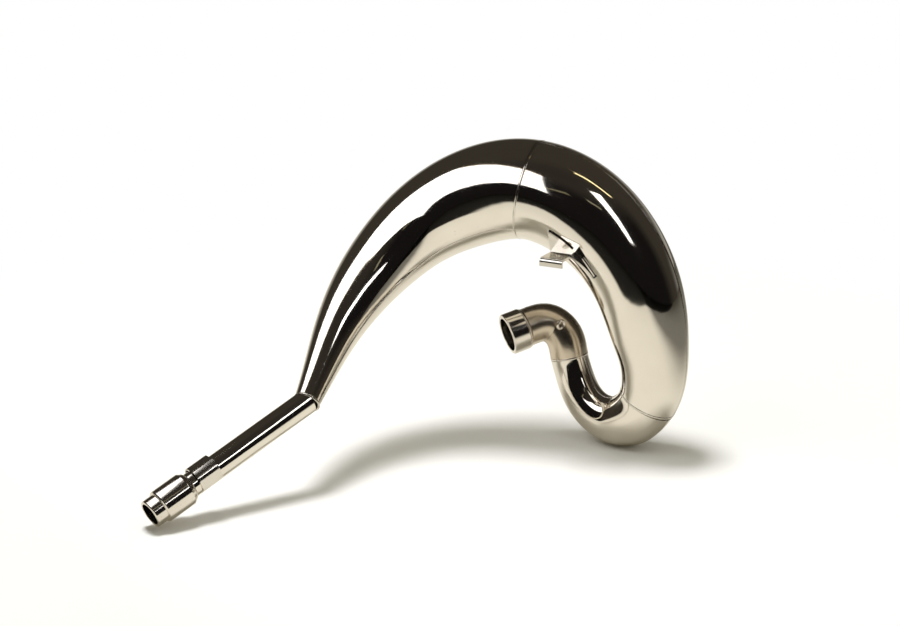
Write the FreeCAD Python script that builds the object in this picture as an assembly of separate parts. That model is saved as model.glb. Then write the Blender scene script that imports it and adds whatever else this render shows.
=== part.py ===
"""Front exhaust pipe of a two-stroke motorbike: a stamped and welded expansion chamber.

Millimetres, +Z up, +X towards the front of the motorbike. The origin is the centre of the
inlet mouth. Gas enters there and runs through the elbow, the U-bend of the header, the belly
and the rear cone, and leaves through the stinger.
"""
import FreeCAD, Part
import math
import os
from FreeCAD import Placement, Rotation, Vector

# Sheet and welds
SHEET = 1.0             # wall of the stamped half shells
SEAM_WIDTH = 3.2        # weld along a half shell's edge
SEAM_CROWN = 0.7        # its height above the sheet
GIRTH_WIDTH = 3.0       # weld round the pipe, between two stages
GIRTH_CROWN = 0.7
FILLET_LEG = 2.5        # fillet welds of the fittings

# Inlet collar, turned, which slides over the cylinder's exhaust spigot
INLET_AXIS = Vector(0.962, -0.02, 0.271).normalize()
COLLAR_LENGTH = 21.0
COLLAR_STEP = 2.7           # its outside above the elbow's
COLLAR_WALL = 4.5
COLLAR_CHAMFER = 1.0

# Stations of the centreline: x, y, z and the outside diameter there
ELBOW_START_DIAMETER = 42.6
ELBOW_LEAD = 9.0            # straight run behind the collar
ELBOW = ((46.0, -2.0, 10.5, 43.0), (57.0, -5.0, 6.0, 43.6), (64.2, -11.4, -2.4, 44.0),
         (67.5, -15.7, -12.2, 44.0))
HEADER_JOINT = (70.0, -17.9, -27.0, 43.8)
HEADER = ((73.6, -23.1, -45.9, 43.6), (77.9, -32.6, -65.5, 44.6), (88.9, -52.0, -85.9, 47.9),
          (104.6, -71.2, -92.5, 56.1), (118.6, -90.9, -83.5, 62.7))
BELLY_JOINT = (130.5, -102.4, -62.8, 67.4)
BELLY = ((134.7, -107.0, -42.0, 71.7), (134.0, -109.0, -11.0, 78.1), (129.0, -107.5, 19.0, 87.0),
         (116.8, -98.0, 72.5, 97.0), (97.0, -78.0, 118.0, 104.0), (68.0, -49.0, 152.0, 111.0))
CONE_JOINT = (24.4, -8.7, 170.9, 113.4)
CONE = ((-7.0, 15.5, 167.0, 113.0), (-44.0, 35.7, 152.0, 108.5), (-83.5, 44.8, 130.0, 98.0),
        (-127.0, 39.0, 99.5, 84.8), (-169.0, 18.8, 66.4, 70.0), (-204.0, -9.8, 35.2, 54.4),
        (-233.0, -43.0, 6.8, 40.6))
STINGER_JOINT = (-264.0, -81.6, -23.0, 28.6)
CONE_JOINT_LEAN = 6.0       # degrees by which the top of that joint leans towards the belly
CONE_LEAN_REACH = 90.0      # length over which the sections beside it lean less and less

# Direction in which the upper or right-hand half of each stage is drawn from its die
ELBOW_DRAW = Vector(-0.12, -0.91, 0.34)
HEADER_DRAW = Vector(-0.88, -0.47, 0.0)
BELLY_DRAW = Vector(-0.72, -0.69, 0.0)
CONE_DRAW = Vector(-0.47, -0.44, 0.77)
ELBOW_POINTS = 8        # sections that set out each stage, between its ends
HEADER_POINTS = 11
BELLY_POINTS = 10
CONE_POINTS = 10
ARC_POINTS = 9          # points that set out half a section

# Stinger: a drawn tube, cut obliquely to meet the cone's square end, and its turned coupler
STINGER_AXIS = Vector(-0.881, -0.28, -0.381).normalize()
STINGER_LENGTH = 212.0      # from the end of the cone to the outlet's mouth
STINGER_DIAMETER = 27.0
STINGER_WALL = 1.5
COUPLER_LENGTH = 37.0
COUPLER_DIAMETER = 36.5
COUPLER_TAPER = 4.0         # length of its tapered rear end
COUPLER_CHAMFER = 1.2
SOCKET_DEPTH = 15.0         # depth to which the tube sits in the coupler
SOCKET_CLEARANCE = 0.05
SPIGOT_LENGTH = 13.0
SPIGOT_DIAMETER = 31.0
SPIGOT_BORE = 25.0
SPIGOT_CHAMFER = 0.8

# Saddle folded over the stinger in front of the coupler
SADDLE_GAP = 9.0            # from the coupler's rear end
SADDLE_LENGTH = 26.0
SADDLE_SHEET = 1.6
SADDLE_RISE = 0.4           # clear height over the tube
SADDLE_LEG = 5.0            # how far its legs reach below the tube's axis
SADDLE_BEND = 10.0          # inside bend radius

# Stay that bolts the belly to the frame: a folded plate with a gusset beside it
STAY_FOLD = Vector(31.6, -80.8, 115.0)      # middle of the fold, on the plate's near face
STAY_ALONG = Vector(0.67, -0.74, 0.0).normalize()
STAY_SHEET = 2.5
STAY_FOOT_WIDTH = 32.0      # where the plate meets the belly
STAY_FOLD_WIDTH = 27.0
STAY_HEIGHT = 34.0          # plate above the fold, before it is cut to the belly
STAY_LEAN = 7.0             # how far its upper end stands out over the fold
STAY_SHELF = 29.0
STAY_LIP = 9.0              # height of the rounded lip below the shelf
STAY_LIP_BEND = 5.0
STAY_HOLE = 8.5
STAY_BEAD = 2.2             # radius of the welds at the stay's feet
STAY_BEAD_SIDES = 8
GUSSET_SHEET = 2.5
GUSSET_REACH = 15.0         # height of the gusset at the plate
GUSSET_TOE = 4.0            # and at its far end
GUSSET_START = Vector(44.0, -95.0, 121.0)
GUSSET_END = Vector(61.4, -107.7, 92.0)

# Spring hooks on the two sides of the elbow
HOOK_RADIUS = 4.6
HOOK_ROD = 3.4
HOOK_SIDES = 8              # flats of the rod's section
HOOK_STANDOFF = 2.0         # ring's axis above the elbow's surface
HOOK_STATION = 0.55         # share of the elbow's length from the collar


class Frame:
    """A section of the pipe: its centre, direction, radius and parting directions."""

    def __init__(self, centre, along, radius, draw):
        self.centre = centre
        self.along = along
        self.radius = radius
        self.across = (draw - along * draw.dot(along)).normalize()
        self.seam = along.cross(self.across)

    def point(self, across, seam):
        return self.centre + self.across * across + self.seam * seam


class Stage:
    """One stamped length of the pipe between two girth welds."""

    def __init__(self, frames):
        self.frames = frames
        self.knots = [0.0]
        for a, b in zip(frames, frames[1:]):
            self.knots.append(self.knots[-1] + a.centre.distanceToPoint(b.centre))

    def run(self, place):
        """A curve along the stage, through one point of each section."""
        return interpolated([place(f) for f in self.frames], self.knots)

    def half(self, side, gap, inset):
        """Half of the pipe's surface, on one side of the parting surface."""
        def turn(f, share):
            radius = f.radius - inset
            start = math.acos(gap / radius)
            angle = start * (1 - 2 * share)
            return f.point(side * radius * math.cos(angle), radius * math.sin(angle))

        shares = [j / (ARC_POINTS - 1) for j in range(ARC_POINTS)]
        runs = [self.run(lambda f, t=t: turn(f, t)) for t in shares]
        rings = [interpolated(list(poles), shares) for poles in zip(*(r.getPoles() for r in runs))]
        surface = Part.BSplineSurface()
        surface.buildFromPolesMultsKnots(
            [ring.getPoles() for ring in rings], runs[0].getMultiplicities(),
            rings[0].getMultiplicities(), runs[0].getKnots(), rings[0].getKnots(),
            False, False, runs[0].Degree, rings[0].Degree)
        return surface, runs[0], runs[-1], rings[0], rings[-1]

    def shell(self, side):
        """The stamped half shell on one side of the parting surface."""
        out, out_a, out_b, out_first, out_last = self.half(side, SEAM_WIDTH / 2, 0)
        ins, ins_a, ins_b, ins_first, ins_last = self.half(side, SEAM_WIDTH / 2, SHEET)
        edges = ruled(out_a, ins_a), ruled(out_b, ins_b)
        ends = ruled(out_first, ins_first), ruled(out_last, ins_last)
        return closed([out.toShape(), ins.toShape(), *edges, *ends])

    def seam(self, side):
        """The weld that fills the gap between the two half shells."""
        edge = SEAM_WIDTH / 2

        def corners(f):
            top, root = rim(f.radius), rim(f.radius - SHEET)
            crown = f.radius + SEAM_CROWN
            return [f.point(x, side * y) for x, y in (
                (edge, top), (edge / 2, crown), (-edge / 2, crown), (-edge, top), (-edge, root),
                (edge, root))]

        count = len(corners(self.frames[0]))
        runs = [self.run(lambda f, k=k: corners(f)[k]) for k in range(count)]
        sides = [ruled(runs[k - 1], runs[k]) for k in range(count)]
        return closed(sides + [flat(corners(f)) for f in (self.frames[0], self.frames[-1])])

    def envelope(self):
        """The closed outside form, to seat fittings on."""
        right, _, _, right_first, right_last = self.half(1, 0, 0)
        left, _, _, left_first, left_last = self.half(-1, 0, 0)
        ends = ruled(right_first, left_first), ruled(right_last, left_last)
        return closed([right.toShape(), left.toShape(), *ends])


def interpolated(points, knots):
    curve = Part.BSplineCurve()
    curve.interpolate(Points=points, Parameters=knots)
    return curve


def ruled(a, b):
    return Part.makeRuledSurface(a.toShape(), b.toShape())


def flat(points):
    return Part.Face(Part.makePolygon(points + points[:1]))


def closed(faces):
    """Join faces that share their edges into one solid."""
    skin = Part.makeShell(faces)
    skin.sewShape()
    solid = Part.makeSolid(skin)
    if solid.Volume < 0:
        solid.reverse()
    return solid


def line(a, b):
    return Part.LineSegment(a, b).toShape()


def arc(a, b, c):
    return Part.Arc(a, b, c).toShape()


def rim(radius):
    """Height at which a half shell's edge leaves the circle."""
    return math.sqrt(radius ** 2 - (SEAM_WIDTH / 2) ** 2)


def turned(profile, origin, axis):
    """Revolve a closed profile of (distance along the axis, radius) points."""
    points = [Vector(r, 0, z) for z, r in profile]
    return placed(flat(points).revolve(Vector(), Vector(0, 0, 1), 360), origin, axis)


def placed(shape, origin, axis):
    shape.Placement = Placement(origin, Rotation(Vector(0, 0, 1), axis))
    return shape


def prism(points, along):
    return flat(points).extrude(along)


def centreline():
    """Interpolate the stations; return the path, the diameters and the stations' knots."""
    start = INLET_AXIS * (COLLAR_LENGTH + GIRTH_WIDTH / 2)
    lead = start + INLET_AXIS * ELBOW_LEAD
    stations = [(*start, ELBOW_START_DIAMETER), (*lead, ELBOW_START_DIAMETER), *ELBOW,
                HEADER_JOINT, *HEADER, BELLY_JOINT, *BELLY, CONE_JOINT, *CONE, STINGER_JOINT]
    points = [Vector(*s[:3]) for s in stations]
    knots = [0.0]
    for a, b in zip(points, points[1:]):
        knots.append(knots[-1] + a.distanceToPoint(b))
    path = interpolated(points, knots)
    size = interpolated([Vector(k, s[3], 0) for k, s in zip(knots, stations)], knots)
    return path, size, dict(zip(stations, knots)), knots


PATH, SIZE, KNOT_OF, KNOTS = centreline()
INLET_KNOT, STINGER_KNOT = KNOTS[0], KNOTS[-1]


def frame_at(knot, draw, offset=0.0):
    along = INLET_AXIS if knot == INLET_KNOT else PATH.tangent(knot)[0]
    share = 1 - abs(knot - KNOT_OF[CONE_JOINT]) / CONE_LEAN_REACH
    if share > 0:
        up = Vector(0, 0, 1)
        up = (up - along * up.dot(along)).normalize()
        along = (along + up * (share * math.tan(math.radians(CONE_JOINT_LEAN)))).normalize()
    radius = SIZE.value(knot).y / 2
    return Frame(PATH.value(knot) + along * offset, along, radius, draw)


def stage(draw, first, last, count):
    """Sections of one stage, which stops short of the girth welds at its two ends."""
    step = (last - first) / (count + 1)
    inner = [frame_at(first + step * (i + 1), draw) for i in range(count)]
    ends = frame_at(first, draw, GIRTH_WIDTH / 2), frame_at(last, draw, -GIRTH_WIDTH / 2)
    return Stage([ends[0], *inner, ends[1]])


def girth_weld(knot):
    """A full weld round the pipe, with a crowned outside."""
    f = frame_at(knot, INLET_AXIS.cross(Vector(0, 0, 1)))
    half, out, ins = GIRTH_WIDTH / 2, f.radius, f.radius - SHEET
    crown = out + GIRTH_CROWN
    return turned([(-half, ins), (-half, out), (-half / 2, crown), (half / 2, crown), (half, out),
                   (half, ins)], f.centre, f.along)


def inlet_collar():
    r, k = ELBOW_START_DIAMETER / 2 + COLLAR_STEP, COLLAR_CHAMFER
    bore = r - COLLAR_WALL
    return turned([(0, bore), (0, r - k), (k, r), (COLLAR_LENGTH - k, r),
                   (COLLAR_LENGTH, r - k), (COLLAR_LENGTH, bore)], Vector(), INLET_AXIS)


def collar_weld():
    """Fills the joint from the collar's rear face to the start of the elbow."""
    out = ELBOW_START_DIAMETER / 2
    top = out + COLLAR_STEP - COLLAR_CHAMFER
    return turned([(0, out - SHEET), (0, top), (GIRTH_WIDTH, out), (GIRTH_WIDTH, out - SHEET)],
                  INLET_AXIS * COLLAR_LENGTH, INLET_AXIS)


def stinger_point(distance):
    return Vector(*STINGER_JOINT[:3]) + STINGER_AXIS * distance


COUPLER_START = STINGER_LENGTH - SPIGOT_LENGTH - COUPLER_LENGTH


def stinger_tube():
    r, start = STINGER_DIAMETER / 2, -STINGER_DIAMETER
    end = COUPLER_START + SOCKET_DEPTH
    tube = turned([(start, r - STINGER_WALL), (start, r), (end, r), (end, r - STINGER_WALL)],
                  stinger_point(0), STINGER_AXIS)
    joint = frame_at(STINGER_KNOT, CONE_DRAW, GIRTH_WIDTH / 2)
    waste = Part.makeCylinder(2 * STINGER_DIAMETER, 2 * STINGER_DIAMETER, joint.centre, -joint.along)
    return tube.cut(waste)


def stinger_weld():
    """A ring between the cone's square end and the tube's oblique one."""
    f = frame_at(STINGER_KNOT, CONE_DRAW)
    half, out, ins = GIRTH_WIDTH / 2, f.radius, STINGER_DIAMETER / 2 - STINGER_WALL
    turn = f.along.dot(STINGER_AXIS)
    far = STINGER_DIAMETER / 2 / turn
    return turned([(-half, ins), (-half, out), (0, max(out, far) + GIRTH_CROWN), (half, far),
                   (half, ins)], f.centre, f.along)


def stinger_coupler():
    tube, r, k = STINGER_DIAMETER / 2, COUPLER_DIAMETER / 2, COUPLER_CHAMFER
    spigot, bore, s = SPIGOT_DIAMETER / 2, SPIGOT_BORE / 2, SPIGOT_CHAMFER
    socket = tube + SOCKET_CLEARANCE
    length, mouth = COUPLER_LENGTH, COUPLER_LENGTH + SPIGOT_LENGTH
    lead = tube + FILLET_LEG
    return turned([(0, socket), (0, lead), (COUPLER_TAPER, r), (length - k, r), (length, r - k),
                   (length, spigot), (mouth - s, spigot), (mouth, spigot - s), (mouth, bore),
                   (SOCKET_DEPTH, bore), (SOCKET_DEPTH, socket)],
                  stinger_point(COUPLER_START), STINGER_AXIS)


def coupler_weld():
    r, leg = STINGER_DIAMETER / 2, FILLET_LEG
    return turned([(0, r), (0, r + leg), (-leg, r)], stinger_point(COUPLER_START), STINGER_AXIS)


def stinger_frame(distance):
    """Axes at a point of the stinger: upwards and sideways, square to its axis."""
    up = Vector(0, 0, 1)
    up = (up - STINGER_AXIS * up.dot(STINGER_AXIS)).normalize()
    return stinger_point(distance), up, STINGER_AXIS.cross(up)


def stinger_saddle():
    """A strip bent over the tube, open below, with flat legs tangent to the tube."""
    origin, up, side = stinger_frame(COUPLER_START - SADDLE_GAP - SADDLE_LENGTH)
    inner, top = STINGER_DIAMETER / 2, STINGER_DIAMETER / 2 + SADDLE_RISE

    def at(x, y):
        return origin + side * x + up * y

    def outline(grow):
        w, h, b = inner + grow, top + grow, SADDLE_BEND + grow
        k = b * (1 - math.sqrt(0.5))
        return [at(-w, -SADDLE_LEG), at(-w, h - b), at(-w + k, h - k), at(-w + b, h),
                at(w - b, h), at(w - k, h - k), at(w, h - b), at(w, -SADDLE_LEG)]

    o, i = outline(SADDLE_SHEET), outline(0)
    edges = [line(o[0], o[1]), arc(o[1], o[2], o[3]), line(o[3], o[4]), arc(o[4], o[5], o[6]),
             line(o[6], o[7]), line(o[7], i[7]), line(i[7], i[6]), arc(i[6], i[5], i[4]),
             line(i[4], i[3]), arc(i[3], i[2], i[1]), line(i[1], i[0]), line(i[0], o[0])]
    return Part.Face(Part.Wire(edges)).extrude(STINGER_AXIS * SADDLE_LENGTH)


def saddle_weld(sign):
    """A fillet under one leg of the saddle, against the tube."""
    origin, up, side = stinger_frame(COUPLER_START - SADDLE_GAP - SADDLE_LENGTH)
    r, low = STINGER_DIAMETER / 2, -SADDLE_LEG
    wide = r + SADDLE_SHEET * 0.7
    drop = low - FILLET_LEG
    points = [origin + side * (sign * x) + up * y for x, y in
              ((wide, low), (math.sqrt(r ** 2 - drop ** 2), drop), (r - FILLET_LEG, low))]
    bead = prism(points, STINGER_AXIS * SADDLE_LENGTH)
    return bead.cut(Part.makeCylinder(r, SADDLE_LENGTH, origin, STINGER_AXIS))


def stay_point(x, y, z):
    """A point of the stay: along its fold, out towards the lip and up."""
    out = STAY_ALONG.cross(Vector(0, 0, 1))
    return STAY_FOLD + STAY_ALONG * x + out * y + Vector(0, 0, z)


def stay_plate(belly):
    """A leaning sheet welded to the belly by its upper end, folded out into a shelf with a lip."""
    at, up = stay_point, Vector(0, 0, 1)
    t, bend = STAY_SHEET, STAY_LIP_BEND
    wide, narrow = STAY_FOOT_WIDTH / 2, STAY_FOLD_WIDTH / 2
    back = STAY_LEAN * t / STAY_HEIGHT
    wall = prism([at(-narrow, -back, -t), at(narrow, -back, -t), at(wide, STAY_LEAN, STAY_HEIGHT),
                  at(-wide, STAY_LEAN, STAY_HEIGHT)], at(0, -t, 0) - STAY_FOLD)
    reach = STAY_SHELF - bend
    k = bend * (1 - math.sqrt(0.5))
    q = (bend - t) * (1 - math.sqrt(0.5))
    section = Part.Wire([
        line(at(-narrow, -2 * t, 0), at(-narrow, reach, 0)),
        arc(at(-narrow, reach, 0), at(-narrow, reach + bend - k, -k), at(-narrow, reach + bend, -bend)),
        line(at(-narrow, reach + bend, -bend), at(-narrow, reach + bend, -STAY_LIP)),
        line(at(-narrow, reach + bend, -STAY_LIP), at(-narrow, reach + bend - t, -STAY_LIP)),
        line(at(-narrow, reach + bend - t, -STAY_LIP), at(-narrow, reach + bend - t, -bend)),
        arc(at(-narrow, reach + bend - t, -bend),
            at(-narrow, reach + bend - t - q, -t - q), at(-narrow, reach, -t)),
        line(at(-narrow, reach, -t), at(-narrow, -2 * t, -t)),
        line(at(-narrow, -2 * t, -t), at(-narrow, -2 * t, 0))])
    shelf = Part.Face(section).extrude(STAY_ALONG * STAY_FOLD_WIDTH)
    hole = Part.makeCylinder(STAY_HOLE / 2, 4 * t, at(0, reach / 2, -2 * t), up)
    return wall.fuse(shelf).cut(hole).removeSplitter().cut(belly)


def gusset_axes():
    """Directions of the gusset's foot and of its height, away from the belly."""
    middle = (GUSSET_START + GUSSET_END) / 2
    nearest = frame_at(PATH.parameter(middle), BELLY_DRAW)
    ahead = (GUSSET_END - GUSSET_START).normalize()
    away = middle - nearest.centre
    return ahead, (away - ahead * away.dot(ahead)).normalize()


def stay_gusset(belly, plate):
    """A web that stands on the belly beside the plate, with a hollowed free edge."""
    ahead, away = gusset_axes()
    sink = away * (-4 * GUSSET_SHEET)
    low, high = GUSSET_END + away * GUSSET_TOE, GUSSET_START + away * GUSSET_REACH
    middle = (low + high) / 2 - away * (GUSSET_REACH / 5)
    wire = Part.Wire([line(GUSSET_START + sink, GUSSET_END + sink), line(GUSSET_END + sink, low),
                      arc(low, middle, high), line(high, GUSSET_START + sink)])
    web = Part.Face(wire).extrude(ahead.cross(away) * GUSSET_SHEET)
    return web.cut(belly).cut(plate)


def foot_weld(belly, rays, *pieces):
    """A weld on the belly along an arc through the points where three rays enter it."""
    feet = []
    for start, end in rays:
        inside = line(start, end).common(belly)
        feet.append(min((v.Point for v in inside.Vertexes), key=start.distanceToPoint))
    spine = arc(*feet)
    turn = [2 * math.pi * i / STAY_BEAD_SIDES for i in range(STAY_BEAD_SIDES)]
    ring = flat([Vector(STAY_BEAD * math.cos(a), STAY_BEAD * math.sin(a), 0) for a in turn])
    bead = Part.Wire([spine]).makePipe(placed(ring, feet[0], spine.tangentAt(spine.FirstParameter)))
    return bead.cut(belly).cut(Part.makeCompound(list(pieces)))


def stay_weld(belly, plate):
    reach = [STAY_FOOT_WIDTH / 2 * k for k in (-0.85, 0, 0.85)]
    rays = [(stay_point(x, 0, 0), stay_point(x, STAY_LEAN, STAY_HEIGHT)) for x in reach]
    return foot_weld(belly, rays, plate)


def gusset_weld(belly, plate, gusset):
    _, away = gusset_axes()
    feet = [GUSSET_START + (GUSSET_END - GUSSET_START) * k for k in (0.3, 0.6, 0.95)]
    rays = [(p + away * GUSSET_REACH, p - away * GUSSET_REACH) for p in feet]
    return foot_weld(belly, rays, plate, gusset)


def spring_hook(elbow, sign):
    """A rod ring laid on the elbow's side, which takes one of the springs."""
    knot = INLET_KNOT + (KNOT_OF[HEADER_JOINT] - INLET_KNOT) * HOOK_STATION
    f = frame_at(knot, ELBOW_DRAW)
    centre = f.point(sign * (f.radius + HOOK_STANDOFF), 0)
    tilt = (f.across * sign + f.along).normalize()
    turn = [math.pi * (2 * i + 1) / HOOK_SIDES for i in range(HOOK_SIDES)]
    rod = [(HOOK_ROD / 2 * math.sin(a), HOOK_RADIUS + HOOK_ROD / 2 * math.cos(a)) for a in turn]
    return turned(rod, centre, tilt).cut(elbow)


def save(name, shape):
    solids = shape.Solids
    largest = max(solids, key=lambda s: s.Volume)
    largest.exportStep(f"parts/{name}.step")


def main():
    os.makedirs("parts", exist_ok=True)
    header, belly, cone = KNOT_OF[HEADER_JOINT], KNOT_OF[BELLY_JOINT], KNOT_OF[CONE_JOINT]
    stages = {
        "elbow": stage(ELBOW_DRAW, INLET_KNOT, header, ELBOW_POINTS),
        "header": stage(HEADER_DRAW, header, belly, HEADER_POINTS),
        "belly": stage(BELLY_DRAW, belly, cone, BELLY_POINTS),
        "cone": stage(CONE_DRAW, cone, STINGER_KNOT, CONE_POINTS),
    }
    for name, part in stages.items():
        near, far = ("upper", "lower") if name == "cone" else ("right", "left")
        spine = -1 if name == "elbow" else 1
        save(f"{name}_{near}_shell", part.shell(1))
        save(f"{name}_{far}_shell", part.shell(-1))
        save(f"{name}_spine_weld", part.seam(spine))
        save(f"{name}_throat_weld", part.seam(-spine))
    for name, knot in (("header", header), ("belly", belly), ("cone", cone)):
        save(f"{name}_joint_weld", girth_weld(knot))
    save("inlet_collar", inlet_collar())
    save("collar_weld", collar_weld())
    save("stinger_tube", stinger_tube())
    save("stinger_weld", stinger_weld())
    save("stinger_coupler", stinger_coupler())
    save("coupler_weld", coupler_weld())
    save("stinger_saddle", stinger_saddle())
    save("saddle_right_weld", saddle_weld(1))
    save("saddle_left_weld", saddle_weld(-1))
    belly_form, elbow_form = stages["belly"].envelope(), stages["elbow"].envelope()
    plate = stay_plate(belly_form)
    save("stay_plate", plate)
    gusset = stay_gusset(belly_form, plate)
    save("stay_gusset", gusset)
    save("stay_weld", stay_weld(belly_form, plate))
    save("gusset_weld", gusset_weld(belly_form, plate, gusset))
    save("right_spring_hook", spring_hook(elbow_form, 1))
    save("left_spring_hook", spring_hook(elbow_form, -1))


main()
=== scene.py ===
import logging
import math
from dataclasses import dataclass, field
from enum import Enum
from typing import Callable, Optional, Sequence, Union

import bpy
import numpy as np
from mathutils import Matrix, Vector


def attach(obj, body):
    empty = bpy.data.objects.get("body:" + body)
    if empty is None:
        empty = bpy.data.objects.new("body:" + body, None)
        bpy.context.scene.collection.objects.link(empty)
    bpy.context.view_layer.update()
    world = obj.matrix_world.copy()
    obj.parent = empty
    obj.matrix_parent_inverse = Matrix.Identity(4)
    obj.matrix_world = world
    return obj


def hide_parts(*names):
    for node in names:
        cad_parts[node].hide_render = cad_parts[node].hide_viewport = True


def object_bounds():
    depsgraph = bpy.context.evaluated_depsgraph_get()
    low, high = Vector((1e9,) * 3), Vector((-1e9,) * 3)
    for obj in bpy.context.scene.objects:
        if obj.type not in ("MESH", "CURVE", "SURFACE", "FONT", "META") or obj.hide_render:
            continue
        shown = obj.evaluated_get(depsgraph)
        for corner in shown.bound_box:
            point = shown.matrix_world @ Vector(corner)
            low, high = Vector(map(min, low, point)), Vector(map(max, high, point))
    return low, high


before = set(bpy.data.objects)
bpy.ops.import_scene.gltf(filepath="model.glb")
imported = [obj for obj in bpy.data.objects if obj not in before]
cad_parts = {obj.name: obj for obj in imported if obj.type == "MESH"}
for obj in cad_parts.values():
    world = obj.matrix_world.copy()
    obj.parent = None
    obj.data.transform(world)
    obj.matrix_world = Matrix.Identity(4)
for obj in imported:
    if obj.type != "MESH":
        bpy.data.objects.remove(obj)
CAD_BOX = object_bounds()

log = logging.getLogger("front_pipe")

MM = 0.001
Point = np.ndarray
Station = tuple[float, float, float, float]
Colour = tuple[float, float, float]
Grain = tuple[float, float, float]
Wave = tuple[float, float, float]
Span = tuple[float, float]
Value = Union[bpy.types.NodeSocket, float]


class Slot(Enum):
    """Material slots of the record."""

    PLATE = "plate"
    WELD = "weld"
    FITTING = "fitting"


def unit(values: Sequence[float]) -> Point:
    """Scale a direction to length one."""
    v = np.asarray(values, dtype=float)
    return v / np.linalg.norm(v)


# Finishes


class Nodes:
    """Short calls for building a node tree."""

    def __init__(self, tree: bpy.types.NodeTree) -> None:
        """Keep the tree and empty it."""
        self.tree = tree
        tree.nodes.clear()

    def add(self, kind: str, **values: object) -> bpy.types.Node:
        """Add a node and set its properties and input values.

        Args:
            kind: The node's type name.
            values: Properties, or inputs by socket name with spaces as underscores.

        Returns:
            The node.
        """
        node = self.tree.nodes.new(kind)
        for key, value in values.items():
            if hasattr(node, key):
                setattr(node, key, value)
            else:
                node.inputs[key.replace("_", " ")].default_value = value
        return node

    def link(self, source: bpy.types.NodeSocket, target: bpy.types.NodeSocket) -> None:
        """Join an output to an input."""
        self.tree.links.new(source, target)

    def math(self, operation: str, *values: Value) -> bpy.types.NodeSocket:
        """Add a maths node.

        Args:
            operation: The operation's name.
            values: Sockets or numbers, in the order of the node's inputs.

        Returns:
            The result's socket.
        """
        node = self.tree.nodes.new("ShaderNodeMath")
        node.operation = operation
        for socket, value in zip(node.inputs, values):
            if isinstance(value, (int, float)):
                socket.default_value = value
            else:
                self.link(value, socket)
        return node.outputs[0]

    def noise(self, place: bpy.types.NodeSocket, grain: Grain) -> bpy.types.NodeSocket:
        """Add a noise.

        Args:
            place: Where it is read.
            grain: Its scale, detail and roughness.

        Returns:
            The noise's socket.
        """
        node = self.add("ShaderNodeTexNoise", Scale=grain[0], Detail=grain[1], Roughness=grain[2])
        self.link(place, node.inputs["Vector"])
        return node.outputs["Fac"]

    def span(self, value: bpy.types.NodeSocket, ends: Span, levels: Span = (0.0, 1.0),
             blend: str = "LINEAR") -> bpy.types.NodeSocket:
        """Add a step between two levels.

        Args:
            value: What is stepped.
            ends: Where the step starts and ends.
            levels: The levels there.
            blend: How it goes from one to the other.

        Returns:
            The level's socket.
        """
        node = self.add("ShaderNodeMapRange", interpolation_type=blend, From_Min=ends[0],
                        From_Max=ends[1], To_Min=levels[0], To_Max=levels[1])
        self.link(value, node.inputs["Value"])
        return node.outputs["Result"]


class PlatedSurface:
    """A node group with what every plated face shares: haze, fine scratches, dimples and dirt.

    Each noise has a scale per metre, a detail and a roughness. The inputs weigh the effects.
    """

    NAME = "plated_surface"
    INPUTS = ("Roughness", "Haze", "Dimple", "Scratch", "Dirt")
    OUTPUTS = ("Tint", "Roughness", "Height", "Dirt")
    HAZE = (16.0, 5.0, 0.62)
    HAZE_SPAN = (0.32, 0.72)
    SCRATCH = (1.6, 3.0, 0.6)
    SCRATCH_STRETCH = (90.0, 640.0, 260.0)
    SCRATCH_TURN = (0.4, 0.7, 0.5)
    SCRATCH_HAZE = 0.5
    DIMPLE = (34.0, 2.0, 0.45)
    SPECKS_PER_METRE = 120.0
    SPECK_SPAN = (0.06, 0.16)
    DIRTY = (24.0, 1.0, 0.5)
    DIRTY_FROM = 0.6

    @classmethod
    def group(cls) -> bpy.types.NodeTree:
        """Return the group, and build it the first time.

        Returns:
            The shader node group.
        """
        found = bpy.data.node_groups.get(cls.NAME)
        if found:
            return found
        tree = bpy.data.node_groups.new(cls.NAME, "ShaderNodeTree")
        for way, names in (("INPUT", cls.INPUTS), ("OUTPUT", cls.OUTPUTS)):
            for name in names:
                tree.interface.new_socket(name, in_out=way, socket_type="NodeSocketFloat")
        nodes = Nodes(tree)
        weight = nodes.add("NodeGroupInput").outputs
        out = nodes.add("NodeGroupOutput").inputs
        place = nodes.add("ShaderNodeTexCoord").outputs["Object"]
        haze = nodes.span(nodes.noise(place, cls.HAZE), cls.HAZE_SPAN)
        nodes.link(haze, out["Tint"])
        stretch = nodes.add("ShaderNodeMapping", Scale=cls.SCRATCH_STRETCH,
                            Rotation=cls.SCRATCH_TURN)
        nodes.link(place, stretch.inputs["Vector"])
        scratch = nodes.noise(stretch.outputs["Vector"], cls.SCRATCH)
        mist = nodes.math("MULTIPLY_ADD", haze, weight["Haze"], weight["Roughness"])
        dull = nodes.math("MULTIPLY", weight["Haze"], cls.SCRATCH_HAZE)
        nodes.link(nodes.math("MULTIPLY_ADD", scratch, dull, mist), out["Roughness"])
        dimple = nodes.math("MULTIPLY", nodes.noise(place, cls.DIMPLE), weight["Dimple"])
        nodes.link(nodes.math("MULTIPLY_ADD", scratch, weight["Scratch"], dimple), out["Height"])
        specks = nodes.add("ShaderNodeTexVoronoi", Scale=cls.SPECKS_PER_METRE)
        nodes.link(place, specks.inputs["Vector"])
        speck = nodes.span(specks.outputs["Distance"], cls.SPECK_SPAN, (1.0, 0.0))
        dirty = nodes.math("GREATER_THAN", nodes.noise(place, cls.DIRTY), cls.DIRTY_FROM)
        spots = nodes.math("MULTIPLY", speck, dirty)
        nodes.link(nodes.math("MULTIPLY", spots, weight["Dirt"]), out["Dirt"])
        return tree


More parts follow.
